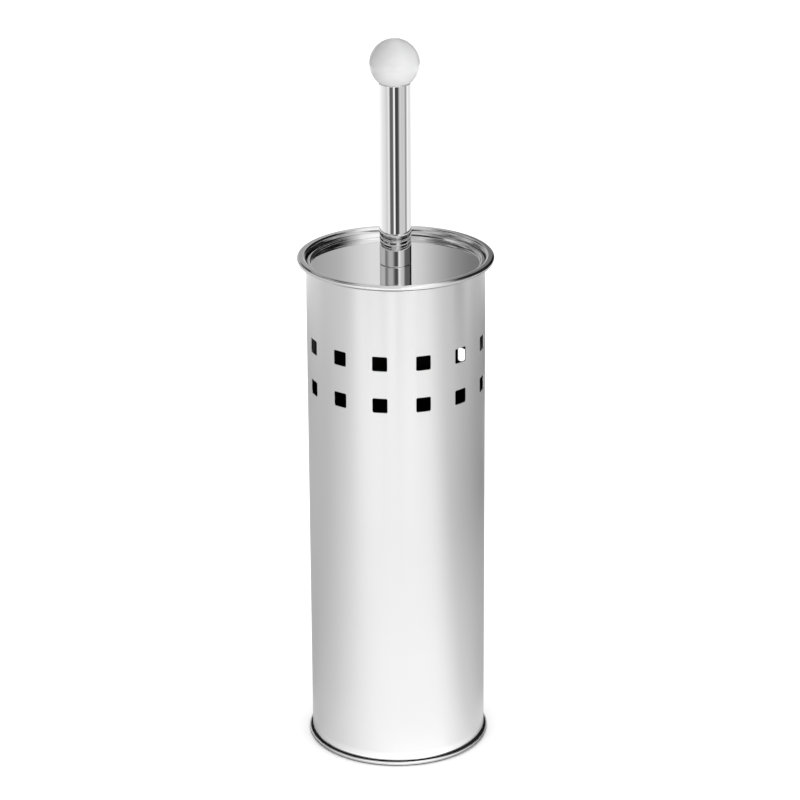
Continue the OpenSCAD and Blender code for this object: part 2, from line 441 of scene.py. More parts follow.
# How far each end of the wall is rounded: inwards, and along the tube.
TOP_ROUND = (0.45, 0.9)
FOOT_ROUND = (0.12, 0.15)
END_BEVEL = 0.2
END_STEPS = 5

# The weld runs down the plain strip at the back.
SEAM_AZIMUTH = 180.0
SEAM_STEPS = 12
WELD_HALF = 0.6
WELD_DEPTH = 0.07
WELD_POINTS = (-0.9, -0.45, -0.22, 0.0, 0.22, 0.45, 0.9)


def rounded_square_ring(width, corner):
    """4 * CELL_STEPS points round a square with rounded corners, anticlockwise from its lower left."""
    straight = width - 2 * corner
    corner_x, corner_y = width / 2 - corner, -width / 2 + corner
    side = []
    for k in range(CELL_STEPS):
        if k < CORNER_STEPS:
            turn = math.radians(225) + math.radians(45 * k / CORNER_STEPS)
            side.append((-corner_x + corner * math.cos(turn), corner_y + corner * math.sin(turn)))
        elif k <= CELL_STEPS - CORNER_STEPS:
            share = (k - CORNER_STEPS) / (CELL_STEPS - 2 * CORNER_STEPS)
            side.append((-straight / 2 + straight * share, -width / 2))
        else:
            turn = math.radians(270) + math.radians(45 * (k - CELL_STEPS + CORNER_STEPS) / CORNER_STEPS)
            side.append((corner_x + corner * math.cos(turn), corner_y + corner * math.sin(turn)))
    ring = []
    for c, s in ((1, 0), (0, 1), (-1, 0), (0, -1)):
        ring += [(c * x - s * y, s * x + c * y) for x, y in side]
    return ring


def cell_border(centre_z):
    """Points round a cell of the hole pattern as (azimuth from its middle, height), in the same order."""
    half = COLUMN_PITCH / 2
    low, high = centre_z - ROW_SPACING / 2, centre_z + ROW_SPACING / 2
    shares = np.linspace(0, 1, CELL_STEPS + 1)[:-1]
    border = [(-half + CELL_STEP * k, low) for k in range(CELL_STEPS)]
    border += [(half, low + (high - low) * share) for share in shares]
    border += [(half - CELL_STEP * k, high) for k in range(CELL_STEPS)]
    border += [(-half, high - (high - low) * share) for share in shares]
    return border


def angle_of(x, radius):
    """Degrees round a cylinder for a sideways distance x."""
    return math.degrees(math.asin(x / radius))


class TubeWall:
    """The two skins of a thin tube and the edges between them. Points are given by azimuth and height and
    carry exact normals; faces that meet share them."""

    def __init__(self, outer, inner):
        self.outer, self.inner = outer, inner
        self.verts, self.normals, self.faces, self.known = [], [], [], {}

    def point(self, radius, angle, z, normal=None):
        """The number of the point at that place. Without a normal it gets that of the nearer skin."""
        key = (round(radius, 4), round(angle, 5), round(z, 4))
        if key not in self.known:
            turn = math.radians(angle - 90.0)
            out = (math.cos(turn), math.sin(turn), 0.0)
            self.known[key] = len(self.verts)
            self.verts.append((radius * out[0], radius * out[1], z))
            sign = 1.0 if radius > (self.outer + self.inner) / 2 else -1.0
            self.normals.append(normal or tuple(sign * c for c in out))
        return self.known[key]

    def quad(self, corners, turned=False):
        """Adds a face, which looks the other way if turned."""
        self.faces.append(corners[::-1] if turned else corners)

    def band(self, one, two, turned=False):
        """Faces between two closed loops of points."""
        for k in range(len(one)):
            n = (k + 1) % len(one)
            self.quad([one[k], one[n], two[n], two[k]], turned)

    def skin_at(self, skin, angle):
        """The weld stands a little proud of the inner skin and is ground into a shallow groove outside."""
        off = abs(angle - SEAM_AZIMUTH)
        return skin - WELD_DEPTH * max(0.0, 1 - off / WELD_HALF)

    def strip(self, bottom, top, span, rows):
        """Both skins between two heights, along a span of azimuths."""
        heights = np.linspace(bottom, top, rows + 1)
        for a, b in zip(span[:-1], span[1:]):
            for low, high in zip(heights[:-1], heights[1:]):
                for skin in (self.outer, self.inner):
                    corners = [self.point(self.skin_at(skin, x), x % 360.0, z)
                               for x, z in ((a, low), (b, low), (b, high), (a, high))]
                    self.quad(corners, turned=skin == self.inner)

    def cell_skin(self, skin, rim, centre_angle, centre_z):
        """One skin from a cell's border in to the hole."""
        border = cell_border(centre_z)
        rings = []
        for share in CELL_RINGS:
            ring = []
            for (border_angle, border_z), (x, z) in zip(border, rim):
                angle = border_angle + (angle_of(x, skin) - border_angle) * share
                height = border_z + (centre_z + z - border_z) * share
                ring.append(self.point(skin, (centre_angle + angle) % 360.0, height))
            rings.append(ring)
        for one, two in zip(rings[:-1], rings[1:]):
            self.band(one, two, turned=skin == self.inner)

    def edge_loop(self, radius, shape, centre_angle, centre_z, on_skin):
        """A loop round a hole. Inside the wall its normals look into the hole, square to the edge."""
        loop = []
        for k, (x, z) in enumerate(shape):
            angle = (centre_angle + angle_of(x, radius)) % 360.0
            along = np.array(shape[(k + 1) % len(shape)]) - np.array(shape[k - 1])
            along = along / np.linalg.norm(along)
            turn = math.radians(angle - 90.0)
            side = np.array([-math.sin(turn), math.cos(turn), 0.0])
            normal = side * -along[1] + np.array([0, 0, 1.0]) * along[0]
            loop.append(self.point(radius, angle, centre_z + z, None if on_skin else tuple(normal)))
        return loop

    def cell(self, centre_angle, centre_z):
        """One cell of the hole pattern: both skins round the hole, and the hole's edge with its bevels."""
        hole = rounded_square_ring(HOLE_W, HOLE_CORNER)
        rim = rounded_square_ring(HOLE_W + 2 * HOLE_BEVEL, HOLE_CORNER + HOLE_BEVEL)
        for skin in (self.outer, self.inner):
            self.cell_skin(skin, rim, centre_angle, centre_z)
        loops = [
            self.edge_loop(self.outer, rim, centre_angle, centre_z, True),
            self.edge_loop(self.outer - HOLE_BEVEL, hole, centre_angle, centre_z, False),
            self.edge_loop(self.inner + HOLE_BEVEL, hole, centre_angle, centre_z, False),
            self.edge_loop(self.inner, rim, centre_angle, centre_z, True),
        ]
        for one, two in zip(loops[:-1], loops[1:]):
            self.band(one, two)

    def end_profile(self, angle, start, end, rounding):
        """The section of one end of the wall: rounded over outside, with a small bevel inside."""
        outer, inner = self.skin_at(self.outer, angle), self.skin_at(self.inner, angle)
        turn = math.radians(angle - 90.0)
        up = math.copysign(1.0, end - start)
        inwards, along = rounding
        points = [self.point(outer, angle, start)]
        for k in range(1, END_STEPS + 1):
            t = math.radians(90.0 / END_STEPS * k)
            flat, rise = math.cos(t) / inwards, up * math.sin(t) / along
            size = math.hypot(flat, rise)
            normal = (flat * math.cos(turn) / size, flat * math.sin(turn) / size, rise / size)
            radius, z = outer - inwards * (1 - math.cos(t)), start + (end - start) * math.sin(t)
            points.append(self.point(radius, angle, z, normal))
        points.append(self.point(inner + END_BEVEL / 2, angle, end - up * END_BEVEL / 2))
        points.append(self.point(inner, angle, start))
        return points

    def close_end(self, start, end, rounding, around):
        """Joins the two skins all round, from height start to the end of the tube."""
        for a, b in zip(around[:-1], around[1:]):
            one = self.end_profile(a % 360.0, start, end, rounding)
            two = self.end_profile(b % 360.0, start, end, rounding)
            for k in range(len(one) - 1):
                self.quad([one[k], one[k + 1], two[k + 1], two[k]], turned=end > start)


def seam_azimuths(start, end):
    """Azimuths across the plain strip after the last hole column, close together at the weld."""
    steps = [start + (end - start) * k / SEAM_STEPS for k in range(1, SEAM_STEPS)]
    middle = SEAM_STEPS // 2
    weld = [SEAM_AZIMUTH + offset for offset in WELD_POINTS]
    return steps[:middle - 1] + weld + steps[middle:] + [end]


def perforated_tube(material):
    outer, bottom, top = radius_of("body_shell"), bottom_of("body_shell"), top_of("body_shell")
    upper_z = top_of("rim_ring") - UPPER_ROW_DROP
    lower_z = upper_z - ROW_SPACING
    levels = [lower_z - ROW_SPACING / 2, (lower_z + upper_z) / 2, upper_z + ROW_SPACING / 2]
    first = -COLUMN_PITCH * HOLE_COLUMNS / 2
    pattern = [first + CELL_STEP * k for k in range(HOLE_COLUMNS * CELL_STEPS + 1)]
    seam = seam_azimuths(pattern[-1], 360.0 + first)
    around = pattern + seam
    body_low, body_high = bottom + FOOT_ROUND[1], top - TOP_ROUND[1]
    wall = TubeWall(outer, outer - SHEET)
    wall.strip(body_low, levels[0], around, ROWS_BELOW_HOLES)
    wall.strip(levels[2], body_high, around, ROWS_ABOVE_HOLES)
    for low, high in zip(levels[:-1], levels[1:]):
        wall.strip(low, high, pattern[-1:] + seam, CELL_STEPS)
    for column in range(HOLE_COLUMNS):
        for z in (lower_z, upper_z):
            wall.cell(first + COLUMN_PITCH * (column + 0.5), z)
    wall.close_end(body_low, bottom, FOOT_ROUND, around)
    wall.close_end(body_high, top, TOP_ROUND, around)
    new_piece("perforated_tube", wall.verts, wall.faces, material, "holder",
              ["body_shell"], wall.normals)


# ---------------------------------------------------------------- the rest of the holder

def rim_with_lip(material):
    """The rolled lip, the shoulder that brings it down to the tube's end, the lid's ledge and the skirt."""
    outer, low, top = radius_of("rim_ring"), bottom_of("rim_ring"), top_of("rim_ring")
    tube_r, tube_top = radius_of("body_shell"), top_of("body_shell")
    lip, bend, edge_round = 1.4, 0.3, 0.2
    skirt_out, skirt_in = tube_r - 0.85, tube_r - 1.5
    neck = tube_r + 0.2 + lip
    ledge = top - 3.5
    shoulder = [(tube_r, tube_top), (tube_r + 0.1, tube_top + 0.35, bend), (neck, top - 2 * lip, bend)]
    seat_curve = [(tube_r + 0.02, ledge + 0.7), (tube_r - 0.1, ledge + 0.3), (tube_r - 0.35, ledge + 0.06)]
    outline = filleted([(skirt_in, low, edge_round), (skirt_out, low, edge_round), (skirt_out, tube_top)])
    outline += filleted(shoulder)[:-1]
    outline += arc(outer - lip, top - lip, lip, -90, 90, 24)
    outline += arc(neck, top - lip, lip, 90, 178, 14)
    outline += seat_curve
    outline += [(tube_r - 0.6, ledge), (skirt_in + edge_round, ledge), (skirt_in, ledge - edge_round)]
    turned_piece("rolled_rim", outline, material, "holder", ["rim_ring"])


def base_dish_with_edge(material):
    outer, low, high = radius_of("base_dish"), bottom_of("base_dish"), top_of("base_dish")
    edge, heel = 0.45, 1.0
    outline = [(0.0, low)]
    outline += arc(outer - heel, low + heel, heel, -90, 0, 8)
    outline += arc(outer - edge, high - edge, edge, 0, 180, 12)
    outline += [(outer - 0.9, low + 0.9), (outer - heel, low + SHEET), (0.0, low + SHEET)]
    turned_piece("base_edge_dish", outline, material, "holder", ["base_dish"])


def gasket(material):
    outer, low, high = radius_of("base_gasket"), bottom_of("base_gasket"), top_of("base_gasket")
    inner, bend = outer - 11.0, 0.2
    step_r = radius_of("body_shell") + 0.3
    outline = filleted([
        (inner, low, bend), (outer, low), (outer, high - 0.2, 0.15), (step_r, high, bend), (inner, high, bend)
    ])
    turned_piece("foot_gasket", outline, material, "holder", ["base_gasket"])


def pad(material):
    outer, high = radius_of("anti_slip_pad"), top_of("anti_slip_pad")
    edge_round = 0.25
    outline = filleted([(0.0, 0.0), (outer, 0.0, edge_round), (outer, high), (0.0, high)])
    turned_piece("floor_pad", outline, material, "holder", ["anti_slip_pad"])


# ---------------------------------------------------------------- the cup

def drip_cup_piece(material):
    """Tapered cup with a rolled lip, a foot ring and a bead under the lip."""
    mouth, low, high = radius_of("drip_cup"), bottom_of("drip_cup"), top_of("drip_cup")
    wall, foot, neck = 1.4, 41.5, mouth - 1.2
    underside, floor = low + 0.6, low + 1.6
    bead_low, bead_high, bead = high - 6.0, high - 4.0, neck + 0.3
    lip_under = high - 1.6
    outline = filleted([
        (0.0, underside), (foot - 5.0, underside, 0.3), (foot - 4.4, low, 0.3), (foot - 0.4, low, 1.2),
        (neck - 0.2, bead_low, 0.4), (bead, bead_low + 0.4, 0.3), (bead, bead_high - 0.4, 0.3),
        (neck, bead_high, 0.3), (neck, lip_under, 0.2), (mouth, lip_under, 0.6), (mouth, high, 0.7),
        (neck - wall, high, 0.6), (foot - wall, floor, 2.0), (0.0, floor)
    ])
    turned_piece("drip_cup_shell", outline, material, "cup", ["drip_cup"])


# ---------------------------------------------------------------- the lid and handle

STUD_BORE = 4.03
KNOB_BORE = 3.03


def lid_pan(material):
    outer, low, high = radius_of("lid"), bottom_of("lid"), top_of("lid")
    wall = outer - 1.1
    edge_z = high - SHEET
    heel, lip_bend, floor_bend = 0.8, 0.7, 0.6
    outline = [(STUD_BORE, low)]
    outline += arc(wall - heel, low + heel, heel, -90, 0, 8)
    outline += [(wall, edge_z - 0.1), (wall + 0.1, edge_z)]
    outline += arc(outer - SHEET / 2, high - SHEET / 2, SHEET / 2, -90, 90, 12)
    outline += arc(wall - SHEET + lip_bend, high - lip_bend, lip_bend, 90, 180, 10)
    outline += arc(wall - SHEET - floor_bend, low + SHEET + floor_bend, floor_bend, 0, -90, 8)
    outline += [(STUD_BORE, low + SHEET)]
    turned_piece("lid_pan", outline, material, "brush", ["lid"])


def hollow_tube(name, node, wall, material, foot_round):
    outer, low, high = radius_of(node), bottom_of(node), top_of(node)
    inner = outer - wall
    outline = filleted([(inner, low), (outer, low, foot_round), (outer, high, 0.25), (inner, high, 0.2)])
    turned_piece(name, outline, material, "brush", [node], TUBE_ROUND_STEPS)


def knob(material):
    """Ball with a flat seat and the bore of its stud."""
    radius, low, high = radius_of("ball_knob"), bottom_of("ball_knob"), top_of("ball_knob")
    centre = high - radius
    seat_r, seat_round = 8.45, 0.25
    seat = math.degrees(math.asin((low + seat_round - centre) / radius))
    outline = [(KNOB_BORE, centre), (KNOB_BORE, low), (seat_r, low)]
    outline += arc(0.0, centre, radius, seat, 90, 72)[:-1] + [(0.0, high), (0.0, centre)]
    turned_piece("ball_knob_milky", outline, material, "brush", ["ball_knob"],
                 KNOB_ROUND_STEPS)


def hex_nut(material):
    """Hex nut whose corners are cut back by a cone on both faces."""
    low, high = bottom_of("clamp_nut"), top_of("clamp_nut")
    half_flats, cone_depth, bore_chamfer = 6.5, 0.55, 0.4
    corner = half_flats / math.cos(math.radians(30))
    cone = half_flats * 0.985
    outside = [(low, cone), (low + cone_depth, corner), (high - cone_depth, corner), (high, cone)]
    bore = [(high, STUD_BORE + bore_chamfer), (high - bore_chamfer, STUD_BORE),
            (low + bore_chamfer, STUD_BORE), (low, STUD_BORE + bore_chamfer)]
    turns = [2 * math.pi * k / NUT_STEPS for k in range(NUT_STEPS)]
    hexagon = [half_flats / math.cos((turn % (math.pi / 3)) - math.pi / 6) for turn in turns]
    rings = [(z, [min(r, limit) for r in hexagon]) for z, limit in outside]
    rings += [(z, [r] * NUT_STEPS) for z, r in bore]
    verts = []
    for z, ring in rings:
        verts += [(r * math.cos(turn), r * math.sin(turn), z) for turn, r in zip(turns, ring)]
    faces = []
    for one in range(0, len(verts), NUT_STEPS):
        two = (one + NUT_STEPS) % len(verts)
        for k in range(NUT_STEPS):
            n = (k + 1) % NUT_STEPS
            faces.append([one + k, one + n, two + n, two + k])
    sharpen(new_piece("hex_nut", verts, faces, material, "brush", ["clamp_nut"]), 25.0)


# ---------------------------------------------------------------- the brush head

TUFT_ROWS = 15
TUFTS_PER_ROW = 20
FILAMENTS = 22
FILAMENT_R = 0.24
FILAMENT_SIDES = 4
FILAMENT_STEPS = 4
COLLAR_PROUD = 1.0

# How far the tufts keep inside the room of their CAD piece, sideways and at its ends.
TUFT_INSET = 0.5
TUFT_GAP = 0.3

# The nose's rings of tufts: (radius, tufts, how far they splay).
TIP_RINGS = ((0.0, 1, 0.0), (2.6, 6, 9.0), (5.2, 10, 17.0))
TIP_FILAMENTS = FILAMENTS + 6
SPLAY_ROUND = 30.0


def filaments(paths, radius):
    """Thin closed prisms along paths[filament, step, xyz]: returns their vertices and faces."""
    count, steps = paths.shape[:2]
    ahead = np.gradient(paths, axis=1)
    ahead /= np.linalg.norm(ahead, axis=2, keepdims=True)
    steep = np.abs(ahead[:, :1, 2:]) > 0.9
    reference = np.where(steep, (1.0, 0.0, 0.0), (0.0, 0.0, 1.0))
    side = np.cross(ahead, reference)
    side /= np.linalg.norm(side, axis=2, keepdims=True)
    up = np.cross(side, ahead)
    turns = 2 * math.pi * np.arange(FILAMENT_SIDES) / FILAMENT_SIDES
    ring = np.cos(turns)[:, None] * side[:, :, None, :] + np.sin(turns)[:, None] * up[:, :, None, :]
    verts = (paths[:, :, None, :] + radius * ring).reshape(-1, 3)
    faces = []
    for start in range(0, count * steps * FILAMENT_SIDES, steps * FILAMENT_SIDES):
        for row in range(start, start + (steps - 1) * FILAMENT_SIDES, FILAMENT_SIDES):
            for k in range(FILAMENT_SIDES):
                n = (k + 1) % FILAMENT_SIDES
                faces.append((row + k, row + n, row + n + FILAMENT_SIDES, row + k + FILAMENT_SIDES))
        last = start + (steps - 1) * FILAMENT_SIDES
        faces.append(tuple(range(start + FILAMENT_SIDES - 1, start - 1, -1)))
        faces.append(tuple(range(last, last + FILAMENT_SIDES)))
    return verts, faces


def held_within(paths, reach, low, high):
    """Pulls points back to a radius and a height range, so that the tufts stay inside their room."""
    flat = np.hypot(paths[..., 0], paths[..., 1])
    shrink = np.minimum(1.0, reach / np.maximum(flat, 1e-6))
    paths[..., 0] *= shrink
    paths[..., 1] *= shrink
    paths[..., 2] = np.clip(paths[..., 2], low, high)
    return paths


def placed(turns, along, across, heights):
    """Points at a distance along and across the direction of each turn (in radians), as paths."""
    c, s = np.cos(turns)[:, None], np.sin(turns)[:, None]
    return np.stack([along * c - across * s, along * s + across * c, heights], axis=2)


def side_tufts(material):
    """Rows of tufts round the core, each a bundle that fans out a little towards its tips."""
    rng = np.random.default_rng(11)
    core = radius_of("brush_core") - COLLAR_PROUD
    reach = radius_of("side_bristles") - TUFT_INSET
    low, high = bottom_of("side_bristles"), top_of("side_bristles")
    end_gap, root_depth = 2.5, 0.4
    rows = np.repeat(np.arange(TUFT_ROWS), TUFTS_PER_ROW)
    turns = 2 * math.pi * (np.tile(np.arange(TUFTS_PER_ROW), TUFT_ROWS) + 0.5 * (rows % 2)) / TUFTS_PER_ROW
    heights = low + end_gap + (high - low - 2 * end_gap) * rows / (TUFT_ROWS - 1)
    turns, heights = np.repeat(turns, FILAMENTS), np.repeat(heights, FILAMENTS)
    count = TUFT_ROWS * TUFTS_PER_ROW * FILAMENTS
    spread, phase = np.sqrt(rng.random(count)), rng.uniform(0, 2 * math.pi, count)
    length = reach - core - rng.uniform(0.0, 0.8, count)
    bend = rng.uniform(-0.8, 0.8, count)
    share = np.linspace(0, 1, FILAMENT_STEPS + 1)[None, :]
    fan = 0.9 + 3.0 * share ** 1.3
    along = core - root_depth + length[:, None] * share
    across = (spread * np.cos(phase))[:, None] * fan + bend[:, None] * share ** 2
    rise = (spread * np.sin(phase))[:, None] * fan * 0.72 + 0.6 * bend[:, None] * share ** 2
    paths = placed(turns, along, across, heights[:, None] + rise)
    verts, faces = filaments(held_within(paths, reach, low + TUFT_GAP, high - TUFT_GAP), FILAMENT_R)
    new_piece("side_tufts", verts, faces, material, "brush", ["side_bristles"])


def tip_tufts(material):
    """Tufts set in the nose of the core, which splay out and down."""
    rng = np.random.default_rng(23)
    start_z = bottom_of("brush_core") + 1.0
    low = bottom_of("tip_bristles") + TUFT_GAP
    reach = radius_of("tip_bristles") - TUFT_INSET
    bundles = []
    for base_r, tufts, splay in TIP_RINGS:
        count = tufts * TIP_FILAMENTS
        turns = np.repeat(2 * math.pi * np.arange(tufts) / tufts + base_r, TIP_FILAMENTS)
        spread, phase = np.sqrt(rng.random(count)), rng.uniform(0, 2 * math.pi, count)
        tip = rng.uniform(0.0, 0.9, count)[:, None]
        share = np.linspace(0, 1, FILAMENT_STEPS + 1)[None, :]
        fan = 0.8 + 2.6 * share ** 1.2
        along = base_r + (spread * np.cos(phase))[:, None] * fan + splay * share ** 1.3
        across = (spread * np.sin(phase))[:, None] * fan
        drop = np.sqrt(np.maximum(0.0, 1 - (splay * share / SPLAY_ROUND) ** 2))
        bundles.append(placed(turns, along, across, start_z - (start_z - low - tip) * share * drop))
    paths = held_within(np.concatenate(bundles), reach, low, start_z)
    verts, faces = filaments(paths, FILAMENT_R)
    new_piece("tip_tufts", verts, faces, material, "brush", ["tip_bristles"])


def core_piece(material):
    """Moulded core: the nose that holds the tufts, a collar, and the spigot that screws into the stem."""
    low, top = bottom_of("brush_core"), bottom_of("stem_tube")
    collar, spigot, spigot_top = radius_of("brush_core"), 3.0, top + 12.0
    shaft = collar - COLLAR_PROUD
    outline = filleted([
        (0.0, low), (shaft, low, 3.0), (shaft, top - 7.0, 0.5), (collar, top - 6.0, 0.5),
        (collar, top - 2.0, 0.8), (collar - 2.0, top, 0.3), (spigot, top), (spigot, spigot_top - 0.6, 0.6),
        (0.0, spigot_top)
    ])
    turned_piece("moulded_core", outline, material, "brush", ["brush_core"],
                 CORE_ROUND_STEPS)


# ---------------------------------------------------------------- studio

FLOOR_HALF = 6.0
WORLD_LEVEL = 1.36
TOP_BOX_PLACE = (0.0, -0.4, 2.6)
TOP_BOX_TARGET = (0.0, 0.0, 0.2)
TOP_BOX_SIZE = (2.4, 1.8)
TOP_BOX_POWER = 3.0


def emitter(name, colour, strength):
    material = bpy.data.materials.new(name)
    material.use_nodes = True
    tree = material.node_tree
    tree.nodes.clear()
    shader = add_node(tree, "ShaderNodeEmission", Color=(*colour, 1.0), Strength=strength)
    output = add_node(tree, "ShaderNodeOutputMaterial")
    link(tree, shader.outputs["Emission"], output.inputs["Surface"])
    return material, tree, shader


def add_floor():
    """Pale paper, much wider than the picture."""
    mesh = bpy.data.meshes.new("floor")
    h = FLOOR_HALF
    mesh.from_pydata([(-h, -h, 0), (h, -h, 0), (h, h, 0), (-h, h, 0)], [], [(0, 1, 2, 3)])
    material, tree, shader = new_material("floor_paper", Roughness=0.9, Specular_IOR_Level=0.1)
    grain = even_noise(tree, 300.0, 2.0)
    link(tree, grey_between(tree, grain, grey(0.945), grey(0.955)), shader.inputs["Base Color"])
    mesh.materials.append(material)
    in_scene("floor", mesh)


def add_top_box():
    """A weak soft box above the object."""
    data = bpy.data.lights.new("top_box", "AREA")
    data.shape = "RECTANGLE"
    data.size, data.size_y = TOP_BOX_SIZE
    data.energy = TOP_BOX_POWER
    lamp = in_scene("top_box", data)
    lamp.location = TOP_BOX_PLACE
    aim = Vector(TOP_BOX_TARGET) - Vector(TOP_BOX_PLACE)
    lamp.rotation_euler = aim.to_track_quat("-Z", "Y").to_euler()


def set_world():
    world = bpy.data.worlds.new("studio")
    world.use_nodes = True
    set_inputs(world.node_tree.nodes["Background"], Color=(1.0, 1.0, 1.0, 1.0), Strength=WORLD_LEVEL)
    bpy.context.scene.world = world


# The light tent is a drum of cards round the object that only polished and satin surfaces see. Each list
# gives its brightness by azimuth, as stops of (degrees from the front, level), for one belt of the drum.
# These lists are not a free design. Scratch programs worked out, from the photo's grey at each mirrored
# point, the level that the drum would need there, and the lists began as rounded copies of what they printed.
# HANDLE_BELT,
# LID_CARD and most floor lists are still close to it; the other belts were changed more. A rig of a few cards
# placed by hand should replace them.
TENT_R = 0.75
TENT_H = 1.3
TENT_FLOOR_Z = 0.0006
TENT_STEPS = 720
LID_CARD_STEPS = 96
CONTACT = [(-180, 0.03), (-110, 0.04), (-60, 0.25), (0, 1.0), (60, 0.2), (110, 0.03), (180, 0.03)]
SKIRTING = [
    (-180, 0.6), (-90, 0.64), (-57, 0.9), (-18, 1.31), (0, 1.4), (35, 1.38), (45, 1.2), (75, 0.85),
    (98, 0.8), (180, 0.6)
]
NEAR_FLOOR = [
    (-180, 0.46), (-125, 0.54), (-82, 0.77), (-45, 1.1), (-25, 1.25), (40, 1.27), (52, 1.2), (75, 0.87),
    (112, 0.62), (145, 0.5), (180, 0.46)
]
MID_FLOOR = [
    (-180, 0.5), (-100, 0.63), (-36, 1.12), (34, 1.1), (45, 1.02), (72, 0.76), (95, 0.63), (140, 0.45),
    (180, 0.5)
]
SHADE_RING = [
    (-180, 0.5), (-100, 0.63), (-36, 1.12), (34, 1.1), (50, 0.92), (66, 0.42), (74, 0.36), (140, 0.28),
    (155, 0.4), (180, 0.5)
]
FAR_FLOOR = [
    (-180, 0.38), (-127, 0.42), (-100, 0.5), (-86, 0.6), (-69, 0.85), (-51, 1.3), (-36, 2.2), (-22, 2.2),
    (-11, 1.45), (-6, 1.45), (3, 2.2), (19, 2.2), (26, 1.6), (40, 1.35), (55, 0.92), (64, 0.85),
    (77, 1.15), (84, 0.95), (93, 0.48), (106, 0.24), (150, 0.2), (180, 0.38)
]
HANDLE_BELT = [
    (-180, 1.2), (-120, 1.15), (-105, 1.0), (-85, 0.95), (-67, 0.8), (-58, 0.8), (-54, 1.0), (-48, 1.0),
    (-43, 0.75), (-38, 0.15), (-20, 0.15), (-15, 0.5), (-12, 1.2), (-5, 1.2), (-1, 0.1), (3, 0.05),
    (21, 0.1), (27, 0.6), (36, 0.8), (46, 0.7), (60, 0.75), (70, 0.7), (75, 0.35), (80, 0.35),
    (87, 0.6), (94, 1.1), (102, 1.1), (112, 0.95), (150, 0.95), (180, 1.2)
]
FILL_BELT = [
    (-180, 0.5), (-165, 0.4), (-120, 0.33), (-99, 0.36), (-69, 0.8), (-51, 1.3), (-42, 1.9), (-36, 3.0),
    (-22, 3.0), (-15, 1.7), (-11, 1.2), (-6, 1.2), (3, 3.3), (19, 3.4), (26, 1.9), (34, 1.2), (64, 0.6),
    (84, 0.4), (98, 0.1), (112, 0.01), (166, 0.01), (172, 0.2), (180, 0.5)
]
LOW_BELT = [
    (-180, 0.6), (-142, 0.45), (-118, 0.75), (-105, 0.6), (-79, 0.12), (-60, 0.6), (-45, 0.68), (-10, 0.5),
    (5, 0.7), (15, 1.2), (45, 0.95), (74, 0.4), (82, 0.5), (106, 0.01), (152, 0.01), (166, 0.5), (180, 0.6)
]
EDGE_BELT = [
    (-180, 0.45), (-165, 0.6), (-151, 0.45), (-140, 0.08), (-124, 0.06), (-90, 0.9), (-80, 0.9),
    (-71, 0.15), (-60, 0.05), (-28, 0.05), (-18, 0.2), (-5, 0.15), (5, 0.6), (15, 1.5), (30, 1.5),
    (45, 1.25), (70, 0.15), (78, 0.01), (145, 0.01), (158, 0.05), (168, 0.5), (180, 0.45)
]
MIDDLE_BELT = [
    (-180, 0.5), (-165, 0.42), (-150, 0.6), (-93, 0.68), (-83, 0.36), (-74, 0.22), (-49, 0.62), (-27, 0.62),
    (-12, 0.2), (-5, 0.1), (9, 0.1), (14, 0.3), (19, 1.05), (25, 1.15), (39, 0.8), (54, 0.76), (70, 0.16),
    (117, 0.15), (126, 0.03), (138, 0.01), (164, 0.01), (170, 0.1), (180, 0.5)
]
DARK_BELT = [
    (-180, 0.4), (-165, 0.03), (-118, 0.02), (-75, 0.12), (-64, 0.18), (-52, 0.4), (-42, 0.95), (-30, 0.8),
    (0, 0.8), (15, 1.5), (30, 1.5), (45, 1.05), (78, 0.06), (84, 0.01), (164, 0.01), (174, 0.1), (180, 0.4)
]
HIGH_BELT = [
    (-180, 0.36), (-170, 0.12), (-150, 0.04), (-116, 0.05), (-100, 0.1), (-94, 0.6), (-84, 0.6),
    (-78, 0.25), (-62, 0.2), (-50, 0.35), (-42, 0.75), (0, 0.9), (15, 1.4), (30, 1.3), (45, 1.15),
    (60, 0.65), (70, 0.3), (84, 0.3), (92, 0.02), (166, 0.005), (172, 0.2), (180, 0.36)
]
UPPER_BELT = [
    (-180, 0.4), (-165, 0.4), (-150, 0.5), (-137, 0.75), (-124, 0.3), (-112, 0.3), (-96, 0.5), (-84, 0.6),
    (-75, 0.35), (-60, 0.55), (-45, 0.6), (-25, 0.9), (-15, 1.15), (5, 1.15), (30, 1.3), (45, 1.15),
    (60, 0.75), (72, 0.28), (80, 0.03), (92, 0.01), (163, 0.01), (169, 0.6), (173, 1.0), (180, 0.4)
]
TOP_BELT = [
    (-180, 0.5), (-165, 0.2), (-150, 0.3), (-137, 0.4), (-120, 0.15), (-105, 0.15), (-92, 0.4), (-75, 0.45),
    (-60, 0.65), (-45, 0.6), (-25, 0.9), (-15, 1.15), (5, 1.15), (30, 1.1), (45, 1.0), (60, 0.8), (74, 0.6),
    (84, 0.5), (94, 0.03), (110, 0.02), (150, 0.02), (157, 0.1), (163, 1.1), (172, 1.0), (180, 0.5)
]
ROOF_EDGE = [
    (-180, 0.94), (-158, 0.6), (-150, 0.06), (-98, 0.06), (-88, 0.5), (-60, 0.85), (-45, 0.5), (0, 0.6),
    (30, 1.1), (60, 1.2), (88, 1.0), (102, 0.15), (125, 0.1), (138, 0.5), (165, 1.2), (180, 0.94)
]
CEILING = [(-180, 0.95), (-90, 0.78), (-45, 0.6), (0, 0.6), (45, 0.85), (90, 1.2), (150, 1.1), (180, 0.95)]
ZENITH = [(-180, 1.0), (180, 1.0)]
